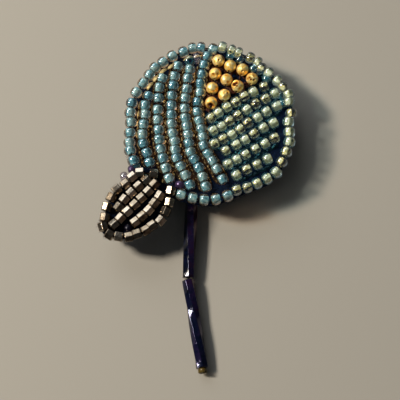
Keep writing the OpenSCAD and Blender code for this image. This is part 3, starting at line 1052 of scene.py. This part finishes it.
class BROOCH_OT_stitches(bpy.types.Operator):
    """Lays the gold stitches along the inside of the rim, whose pale gold also stands in for focused light
    """
    bl_idname = "brooch.stitches"
    bl_label = "Gold stitches"

    def execute(self, context):
        pile = Pile()
        # Painted light: these pale gold stitches also stand for light focused through the rim beads' glass.
        for angle, radius, length, z, width in RIM_STITCHES_AND_LIGHT:
            half = math.degrees(length / 2 / radius)
            route = []
            for share in (-1, -0.6, 0, 0.6, 1):
                a = math.radians(angle + share * half)
                route.append((radius * math.cos(a), radius * math.sin(a), z - 0.35 * abs(share) ** 3))
            flat_stitch(pile, route, width, 0.16)
        mounted(pile.piece("rim_stitches_and_light", [gilt_lurex_glints()]), "thread")
        return {"FINISHED"}


def felt_sheet(pile, outline, low, high, rng, place=None):
    """Cut felt with soft edges and an uneven face, from its outline and two heights.

    The outline is a closed run of level points. Loops of it shrink over both faces to the middle.
    """
    outline = np.array(outline, float)
    middle = outline.mean(axis=0)
    loops = [(s, low) for s in (0.25, 0.55, 0.85, 0.97)]
    loops += [(0.995, low + FELT_ROUND), (1, low + 2.5 * FELT_ROUND), (1.002, (low + high) / 2)]
    loops += [(1, high - 2.5 * FELT_ROUND), (0.995, high - FELT_ROUND)]
    loops += [(s, high) for s in (0.97, 0.9, 0.78, 0.6, 0.42, 0.25)]
    points = []
    for share, z in loops:
        edge = abs(share - 1) < 0.01
        for spot in middle + (outline - middle) * share:
            away = spot - middle
            swell = rng.uniform(-0.06, 0.03) if edge else 0
            x, y = spot + away / np.linalg.norm(away) * swell
            points.append((x, y, z + (rng.uniform(-0.05, 0) if z == high else rng.uniform(0, 0.03))))
    points = [place(*p) for p in points] if place else points
    pile.put(points, tube_faces(len(loops), len(outline)))


def felt_fibres(pile, outline, low, high, count, rng, place=None):
    """Loose wool fibres that lie on the face and stand a little off the cut edge."""
    outline = np.array(outline, float)
    middle = outline.mean(axis=0)
    ring = oval(FIBRE_R, FIBRE_R, 3)
    for _ in range(count):
        a, b = outline[rng.randrange(len(outline))], outline[rng.randrange(len(outline))]
        at_edge = rng.random() < 0.35
        if at_edge:
            away = (a - middle) / np.linalg.norm(a - middle)
            spot = np.array((*(a + away * rng.uniform(0, 0.04)), rng.uniform(low + 0.1, high - 0.1)))
        else:
            share = rng.random()
            spot = np.array((*(a * share + b * (1 - share)), high + 0.01))
        turn, bend = rng.uniform(0, 2 * math.pi), rng.uniform(-1.2, 1.2)
        if at_edge:
            turn = math.atan2(away[1], away[0]) + math.pi / 2 + rng.uniform(-0.5, 0.5)
        route, step = [spot], rng.uniform(0.12, 0.24)
        for _ in range(4):
            turn += bend * 0.35
            rise = rng.uniform(-0.04, 0.04)
            route.append(route[-1] + step * np.array((math.cos(turn), math.sin(turn), rise)))
        route = np.array([place(*p) for p in route] if place else route)
        points = [pose(ring, centre, way) for centre, way in zip(route, headings(route))]
        pile.put(np.concatenate(points), tube_faces(len(route), 3), 1)


def leaf_outline():
    """Outline of the leaf's felt on the brooch, as level points, cut back where the round lies."""
    outline = []
    for (x0, y0), (x1, y1) in zip(LEAF_OUTLINE, LEAF_OUTLINE[1:] + LEAF_OUTLINE[:1]):
        for share in np.arange(0, 1, 0.125):
            x, y, _ = leaf_point(x0 + (x1 - x0) * share, y0 + (y1 - y0) * share, -LEAF_FELT_T / 2)
            nearest = rim_point(math.degrees(math.atan2(y, x)), FELT_MARGIN + LEAF_GAP)[:2]
            outline.append(nearest if math.hypot(x, y) < math.hypot(*nearest) else (x, y))
    return outline


def drooped(x, y, z):
    """Point of the leaf's felt, lowered as the leaf droops."""
    turn = math.radians(LEAF_TURN)
    along = (x - LEAF_ROOT[0]) * math.cos(turn) + (y - LEAF_ROOT[1]) * math.sin(turn)
    return x, y, z - along * math.tan(math.radians(LEAF_DROOP))


class BROOCH_OT_felt(bpy.types.Operator):
    """Cuts the felt under the round and under the leaf, with its fuzz"""
    bl_idname = "brooch.felt"
    bl_label = "Felt"

    def execute(self, context):
        sizes, colours = settings()
        wool = kept("Navy-black wool felt", felt_cloth, colours.felt, "#0A2040")
        fuzz = kept("Loose wool fibres", twisted_thread, "#060A16", "#12305A", 0.0, 0.8, 0.1)
        rng = random.Random(sizes.seed)
        edge = [rim_point(angle, FELT_MARGIN)[:2] for angle in range(360)]
        top = FELT_TOP + LEAF_LIFT
        for name, node, outline, low, high, fibres, place in (
            ("backing_felt", "backing", edge, FELT_LOW, FELT_TOP, 1800, None),
            ("leaf_felt", "leaf_base", leaf_outline(), top - LEAF_FELT_T, top, 350, drooped),
        ):
            pile = Pile()
            felt_sheet(pile, outline, low, high, rng, place)
            felt_fibres(pile, outline, low, high, fibres, rng, place)
            mounted(pile.piece(name, [wool, fuzz], sharp=60), "felt", node)
        return {"FINISHED"}


def column_way(column):
    """Way of the thread through a column of metal beads, as x and y."""
    return np.array(column[-1]) - np.array(column[0]) if len(column) > 1 else LAST_COLUMN_WAY


class BROOCH_OT_threads(bpy.types.Operator):
    """Twists the thread of the stem and the threads through the gold beads"""
    bl_idname = "brooch.threads"
    bl_label = "Threads"

    def execute(self, context):
        pile = Pile()
        end = np.array(STEM_END)
        way = end - np.array(STEM_BEND)
        way /= np.linalg.norm(way)
        spun_thread(pile, [THREAD_UNDER_FELT, STEM_TOP, STEM_BEND, STEM_END], THREAD_D)
        # The thread turns back round the last bead, in a small flat loop
        spun_thread(pile, [
            end + way * 0.02, end + way * 0.3 + (0.15, 0, 0.2), end + way * 0.3 + (0.4, 0, 0.45),
            end + (0.5, 0, 0.62),
        ], 0.16)
        mounted(pile.piece("stem_thread_twisted", [brown_nylon()]), "thread", "stem_thread")

        pile = Pile()
        low = FELT_TOP + SEAT_GAP
        for column in METAL_COLUMNS:
            way = column_way(column)
            way = np.array(way) / np.linalg.norm(way)
            start = np.array(column[0]) - way * METAL_D * 0.6
            end = np.array(column[-1]) + way * METAL_D * 0.62
            spun_thread(pile, [
                (*start, low), (*(start + way * 0.15), METAL_Z), *[(x, y, METAL_Z) for x, y in column],
                (*(end - way * 0.1), METAL_Z), (*end, low),
            ], THREAD_D)
        # Russet stitches: painted shade and reflection of the gold in the gaps between the beads
        reflection_thread = kept("Russet nylon thread", twisted_thread, "#2A0C04", "#5A2410", 0.0, 0.5)
        rng = random.Random(settings()[0].seed + 2)
        for x, y in [place for column in METAL_COLUMNS for place in column]:
            for _ in range(GOLD_REFLECTION_STITCHES):
                turn, slant = rng.uniform(0, 2 * math.pi), rng.uniform(0, math.pi)
                spot = np.array((x + 1.1 * math.cos(turn), y + 1.1 * math.sin(turn), FELT_TOP + 0.09))
                half = np.array((math.cos(slant), math.sin(slant), 0)) * rng.uniform(0.3, 0.5)
                flat_stitch(pile, [spot - half, spot + (0, 0, 0.06), spot + half], 0.3, 0.1, 1)
        mounted(pile.piece("gold_bead_threads", [brown_nylon(), reflection_thread]), "thread", "gold_thread")
        return {"FINISHED"}


class BROOCH_OT_fillers(bpy.types.Operator):
    """Sews the single small beads that fill gaps between the strands"""
    bl_idname = "brooch.fillers"
    bl_label = "Filler beads"

    def execute(self, context):
        sizes = settings()[0]
        rng = random.Random(sizes.seed + 1)
        iris = kept("Purple iris coat on cut glass", coated_glass, [
            (0.2, "#0E0C1C"), (0.5, "#241C34"), (0.8, "#463858"),
        ], 0.5, 0.2)
        clear = kept("Lilac glass, fire-polished", bead_glass, "#C8B4D8", 260.0, [
            (0.5, "#5A5068"), (0.9, "#9C94A8"), (1.3, "#C8C0CC"),
        ], 0.2, 60.0)
        navy = kept("Midnight enamel lining", lining_paint, "#04121E", "#0C3A4C", "#1E6070")
        finishes = [*teal_finishes()[:3], gold_finishes()[0], navy, clear, iris]
        pile = Pile()
        for x, y, z, *way, kind in FILLERS:
            glass, lining, ends = FILLER_FINISHES[kind]
            lined = lining is not None
            way = np.array(way) + [rng.uniform(-0.1, 0.1) for _ in range(3)]
            across, tone = sizes.diameter * rng.uniform(0.84, 0.92), rng.random()
            tone = NIGHT_TONE if kind == "night" else tone
            ring, faces = glass_ring(FILLER_L, across, 0.8 if lined else 0.6)
            pile.put(pose(ring, (x, y, z), way), faces, glass, tone)
            if lined:
                tube, faces = plain_lining(*FILLER_LINING)
                runs = [f for f in (ends, lining, ends, lining) for _ in range(LINING_SIDES)]
                pile.put(pose(tube, (x, y, z), way), faces, runs, tone)
        mounted(pile.piece("filler_beads", finishes, sharp=50), "teal_lined_glass")
        return {"FINISHED"}


def metal_bead():
    """Hollow round bead with a drilled hole."""
    outer, hole = METAL_D / 2, METAL_HOLE_D / 2
    start = math.asin(hole / outer)
    turns = [start + (math.pi - 2 * start) * k / METAL_STEPS for k in range(METAL_STEPS + 1)]
    profile = [(-outer * math.cos(a), outer * math.sin(a)) for a in turns]
    profile += [(outer * 0.8, hole - 0.02), (-outer * 0.8, hole - 0.02)]
    return turned(profile, METAL_SIDES)


def dented(points, dents):
    """The bead's points after its dents, and how much of the gilding's tone is left at each after painted
    shade.

    A dent sinks the outside only, and its lip stands up round it. Deep dents get painted shade, dark
    inside.
    """
    reach = np.linalg.norm(points, axis=1)
    aim = points / reach[:, None]
    unshaded = np.ones(len(points))
    for *way, width, depth, lip in dents:
        way = np.array(way) / np.linalg.norm(way)
        off = np.linalg.norm(aim - way, axis=1) * METAL_D / 2 / width
        sink = depth * np.exp(-off ** 4) - lip * np.exp(-((off - 1.35) / 0.3) ** 2)
        reach = reach - np.where(reach > METAL_D * 0.45, sink, 0)
        # Painted shade: the deeper the dent, the darker its middle.
        unshaded = unshaded - np.minimum(depth * 4.5, 0.97) * np.exp(-(off / (1 + 0.2 * depth)) ** 4)
    return aim * reach[:, None], np.maximum(unshaded, 0.04)


class BROOCH_OT_gold(bpy.types.Operator):
    """Makes the round gold beads with their holes and dents"""
    bl_idname = "brooch.gold"
    bl_label = "Gold beads"

    def execute(self, context):
        gold = kept("Gilded brass, tumbled satin", satin_gold)
        beads = [(place, column_way(column)) for column in METAL_COLUMNS for place in column]
        for number, ((x, y), way) in enumerate(beads, 1):
            pile = Pile()
            points, faces = metal_bead()
            points, unshaded = dented(pose(points, (0, 0, 0), (*way, 0)), METAL_DENTS[number])
            pile.put(points + (x, y, METAL_Z), faces, 0, unshaded)
            name = f"gold_bead_{number}"
            mounted(pile.piece(f"{name}_metal", [gold], sharp=60), "gold_metal", name)
        return {"FINISHED"}


class BROOCH_OT_metal(bpy.types.Operator):
    """Finishes the pin"""
    bl_idname = "brooch.metal"
    bl_label = "Pin"

    def execute(self, context):
        steel = kept("Nickel-plated steel", plated_steel)
        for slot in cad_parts["pin_back"].material_slots:
            slot.material = steel
        return {"FINISHED"}


class BROOCH_OT_stage(bpy.types.Operator):
    """Sets up the camera, the lamps and the floor"""
    bl_idname = "brooch.stage"
    bl_label = "Stage"

    def execute(self, context):
        stage = context.scene.brooch_stage
        camera = bpy.data.cameras.new("camera")
        camera.sensor_width = SENSOR_W
        camera.lens = SENSOR_W * stage.distance / stage.width
        holder = placed("camera", camera)
        aim = Vector(((ROUND_X + AIM[0]) * MM, (ROUND_Y + AIM[1]) * MM, SEED_Z * MM))
        back = Vector((0, -math.cos(stage.elevation), math.sin(stage.elevation)))
        holder.location = aim + back * stage.distance
        holder.rotation_euler = back.to_track_quat("Z", "Y").to_euler()
        context.scene.camera = holder

        mesh = bpy.data.meshes.new("floor")
        half = FLOOR_SIDE / 2
        mesh.from_pydata([
            (-half, -half, 0), (half, -half, 0), (half, half, 0), (-half, half, 0),
        ], [], [(0, 1, 2, 3)])
        mesh.materials.append(kept("Pale paper", matt_paper))
        floor = placed("floor", mesh)

        world = bpy.data.worlds.new("studio")
        world.use_nodes = True
        context.scene.world = world
        background = world.node_tree.nodes["Background"]
        context.scene.view_settings.view_transform = "Standard"
        background.inputs["Color"].default_value = linear("#C3CBD2")
        background.inputs["Strength"].default_value = stage.sky
        for name, place, size, share, colour in LAMPS:
            lamp = bpy.data.lights.new(name, "AREA")
            lamp.shape = "RECTANGLE"
            lamp.size, lamp.size_y = size
            lamp.energy = stage.key * share
            lamp.color = linear(colour)[:3]
            made = placed(name, lamp)
            made.location = place
            made.rotation_euler = Vector(place).to_track_quat("Z", "Y").to_euler()
        return {"FINISHED"}


class BROOCH_PT_panel(bpy.types.Panel):
    """Sizes and colours of the brooch, and a button for each group of pieces"""
    bl_idname = "BROOCH_PT_panel"
    bl_label = "Beaded brooch"
    bl_space_type = "VIEW_3D"
    bl_region_type = "UI"
    bl_category = "Brooch"

    def draw(self, context):
        scene = context.scene
        for group in (scene.brooch_beads, scene.brooch_colours, scene.brooch_stage):
            box = self.layout.box()
            for name in type(group).__annotations__:
                box.prop(group, name)
        for step in STEPS:
            self.layout.operator(step.bl_idname)


STEPS = (
    BROOCH_OT_stage, BROOCH_OT_rim, BROOCH_OT_strands, BROOCH_OT_rows, BROOCH_OT_leaf,
    BROOCH_OT_stem, BROOCH_OT_fillers, BROOCH_OT_stitches, BROOCH_OT_felt, BROOCH_OT_threads,
    BROOCH_OT_gold, BROOCH_OT_metal,
)
GROUPS = {"brooch_beads": BroochBeads, "brooch_colours": BroochColours, "brooch_stage": BroochStage}


def register():
    for name, group in GROUPS.items():
        bpy.utils.register_class(group)
        setattr(bpy.types.Scene, name, bpy.props.PointerProperty(type=group))
    for kind in (*STEPS, BROOCH_PT_panel):
        bpy.utils.register_class(kind)


def unregister():
    for kind in reversed((*STEPS, BROOCH_PT_panel)):
        bpy.utils.unregister_class(kind)
    for name, group in GROUPS.items():
        delattr(bpy.types.Scene, name)
        bpy.utils.unregister_class(group)


def main():
    register()
    for step in STEPS:
        group, name = step.bl_idname.split(".")
        if getattr(getattr(bpy.ops, group), name)() != {"FINISHED"}:
            raise RuntimeError(f"{step.bl_label} did not finish")


if __name__ == "__main__":
    main()
